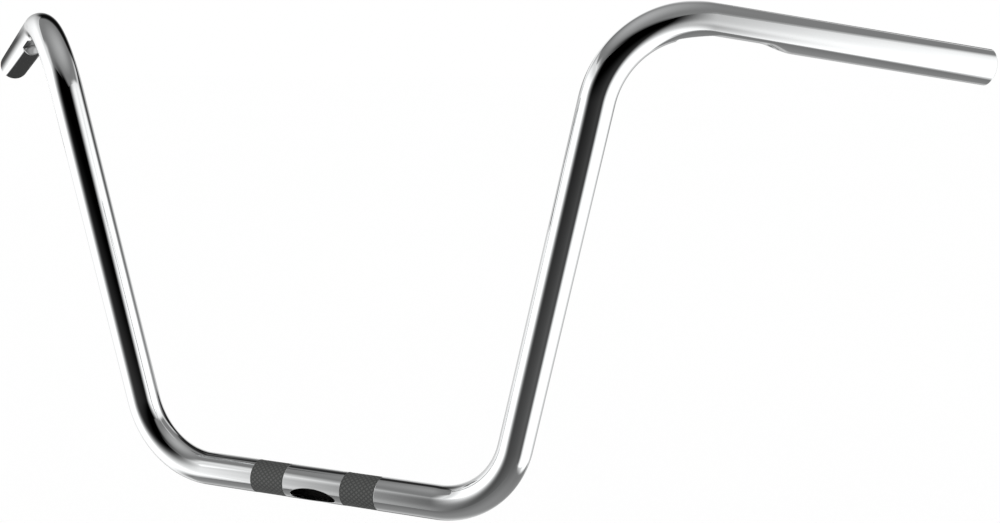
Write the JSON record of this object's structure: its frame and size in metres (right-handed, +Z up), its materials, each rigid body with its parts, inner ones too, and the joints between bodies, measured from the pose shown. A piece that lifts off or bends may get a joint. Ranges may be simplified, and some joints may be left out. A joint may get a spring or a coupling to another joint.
{
  "type": "ape hanger handlebar",
  "caption": "Tall bent chromed steel tube handlebar with swept-back grips, knurled clamp bands, a wiring slot between them and a dimple under each grip.",
  "frame": {"origin": "middle of the clamped stretch, on the tube's centreline", "axes": "+X along the clamped stretch, +Z up in the plane of the risers, +Y back towards the rider"},
  "size_m": [0.9168, 0.1952, 0.3707],
  "materials": {
    "chrome": "polished chrome plate on steel tube, with cut diamond knurling at the clamp bands"
  },
  "bodies": {
    "root": {"handlebar": "chrome"}
  },
  "joints": []
}
